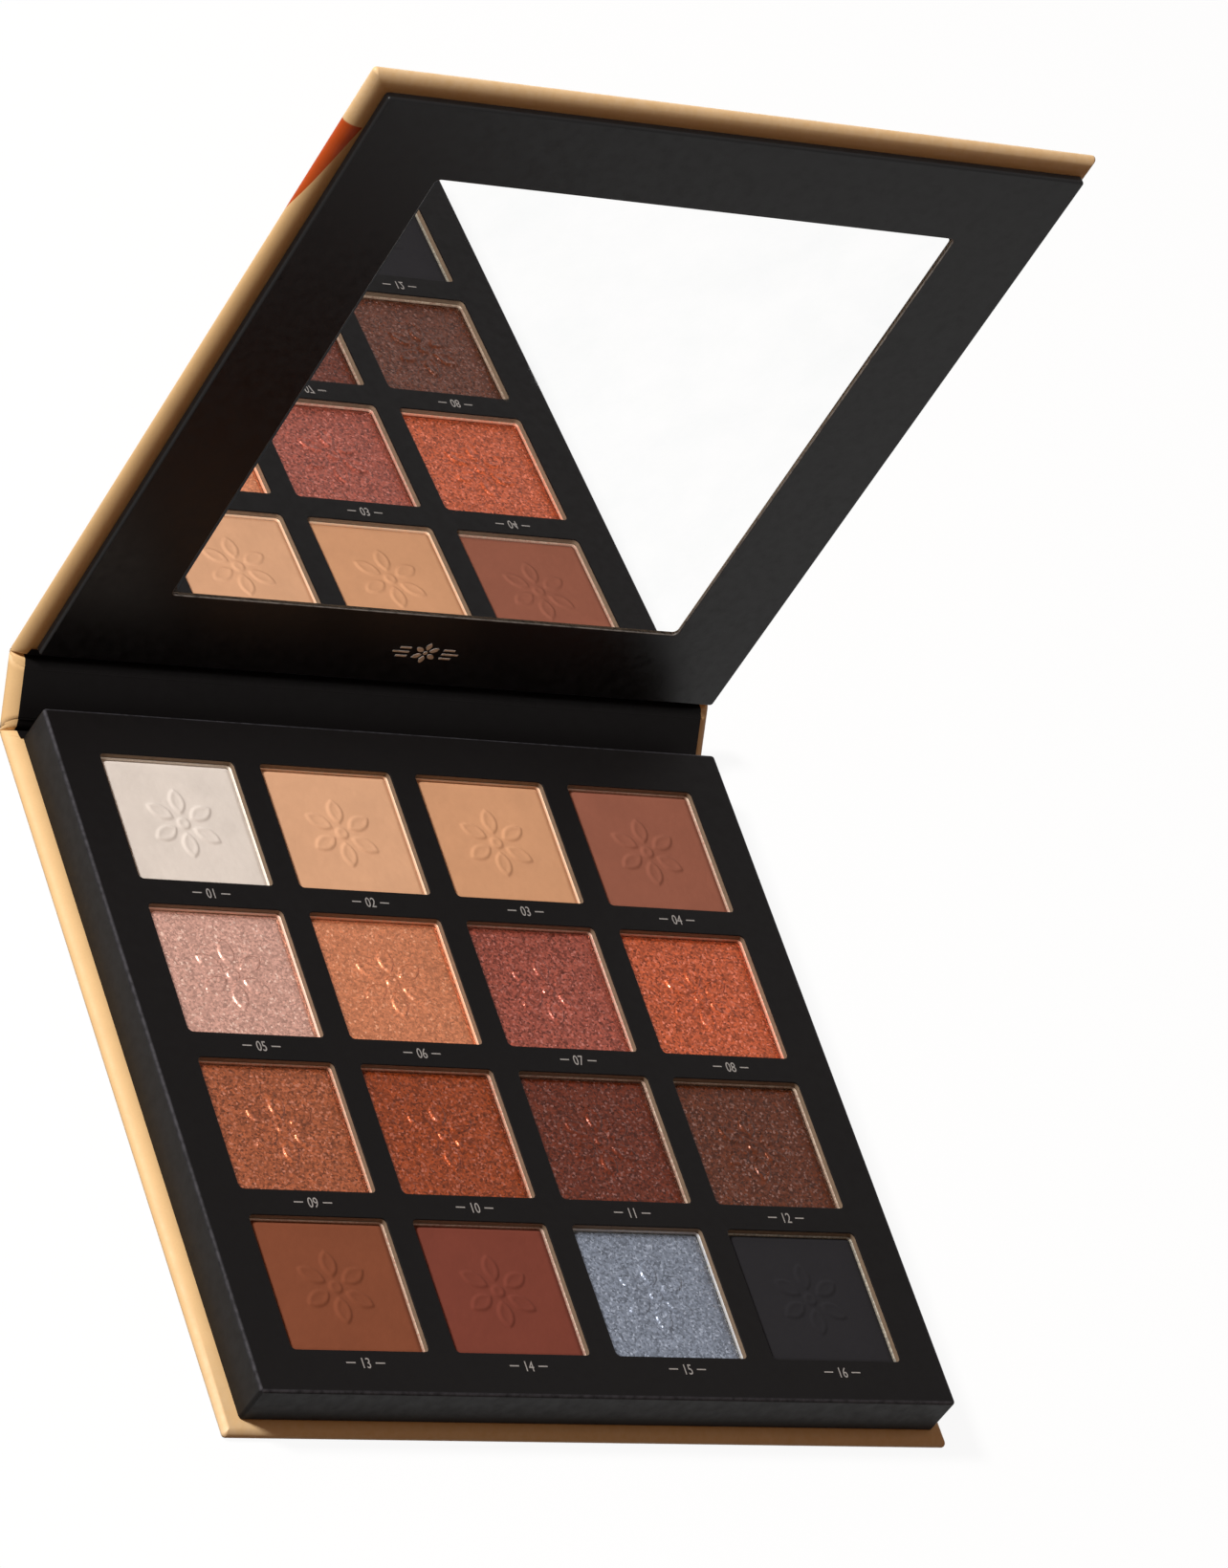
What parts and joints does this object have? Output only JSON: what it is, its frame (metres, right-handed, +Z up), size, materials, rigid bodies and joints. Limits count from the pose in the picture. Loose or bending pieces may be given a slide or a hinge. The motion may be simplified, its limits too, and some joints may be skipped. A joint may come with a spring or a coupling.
{
  "type": "eyeshadow palette",
  "caption": "Folding card eyeshadow palette: a low tray of pressed powders in square tin pans under windows, with a mirror panel in a lid that folds on a creased spine.",
  "frame": {"origin": "centre of the closed case's footprint on the underside of the base", "axes": "+X along the creases to the user's right, +Y from the front edge to the spine, +Z up"},
  "size_m": [0.1202, 0.1346, 0.1285],
  "materials": {
    "tan_paper": "matte",
    "black_paper": "satin",
    "greyboard": "matte",
    "tinplate": "satin",
    "steel": "satin",
    "glue": "matte",
    "mirror": "polished",
    "shade_01": "matte",
    "shade_02": "matte",
    "shade_03": "matte",
    "shade_04": "matte",
    "shade_05": "matte",
    "shade_06": "matte",
    "shade_07": "matte",
    "shade_08": "matte",
    "shade_09": "matte",
    "shade_10": "matte",
    "shade_11": "matte",
    "shade_12": "matte",
    "shade_13": "matte",
    "shade_14": "matte",
    "shade_15": "matte",
    "shade_16": "matte"
  },
  "bodies": {
    "base": {"base_wrap": "tan_paper", "base_board": "greyboard", "base_liner": "black_paper", "lower_crease": "tan_paper", "tray_floor": "greyboard", "pan_holder": "greyboard", "tray_face": "greyboard", "tray_skin": "black_paper", "tray_magnets": "steel", "pan_glue": "glue", "pan_01": "tinplate", "pan_02": "tinplate", "pan_03": "tinplate", "pan_04": "tinplate", "pan_05": "tinplate", "pan_06": "tinplate", "pan_07": "tinplate", "pan_08": "tinplate", "pan_09": "tinplate", "pan_10": "tinplate", "pan_11": "tinplate", "pan_12": "tinplate", "pan_13": "tinplate", "pan_14": "tinplate", "pan_15": "tinplate", "pan_16": "tinplate", "powder_01": "shade_01", "powder_02": "shade_02", "powder_03": "shade_03", "powder_04": "shade_04", "powder_05": "shade_05", "powder_06": "shade_06", "powder_07": "shade_07", "powder_08": "shade_08", "powder_09": "shade_09", "powder_10": "shade_10", "powder_11": "shade_11", "powder_12": "shade_12", "powder_13": "shade_13", "powder_14": "shade_14", "powder_15": "shade_15", "powder_16": "shade_16"},
    "spine": {"spine_wrap": "tan_paper", "spine_board": "greyboard", "spine_liner": "black_paper", "upper_crease": "tan_paper"},
    "lid": {"lid_wrap": "tan_paper", "lid_board": "greyboard", "lid_liner": "black_paper", "panel_backing": "greyboard", "panel_frame": "greyboard", "panel_skin": "black_paper", "mirror_glass": "mirror", "mirror_tape": "glue", "lid_plates": "steel"}
  },
  "joints": [
    {"name": "spine_fold", "type": "hinge", "parent": "base", "child": "spine", "pos_m": [0, 0.0597, 0.0004], "axis": [1, 0, 0], "range_deg": [-46, 44]},
    {"name": "lid_fold", "type": "hinge", "parent": "spine", "child": "lid", "pos_m": [0, 0.06783, 0.00882], "axis": [1, 0, 0], "range_deg": [-41, 49]}
  ]
}
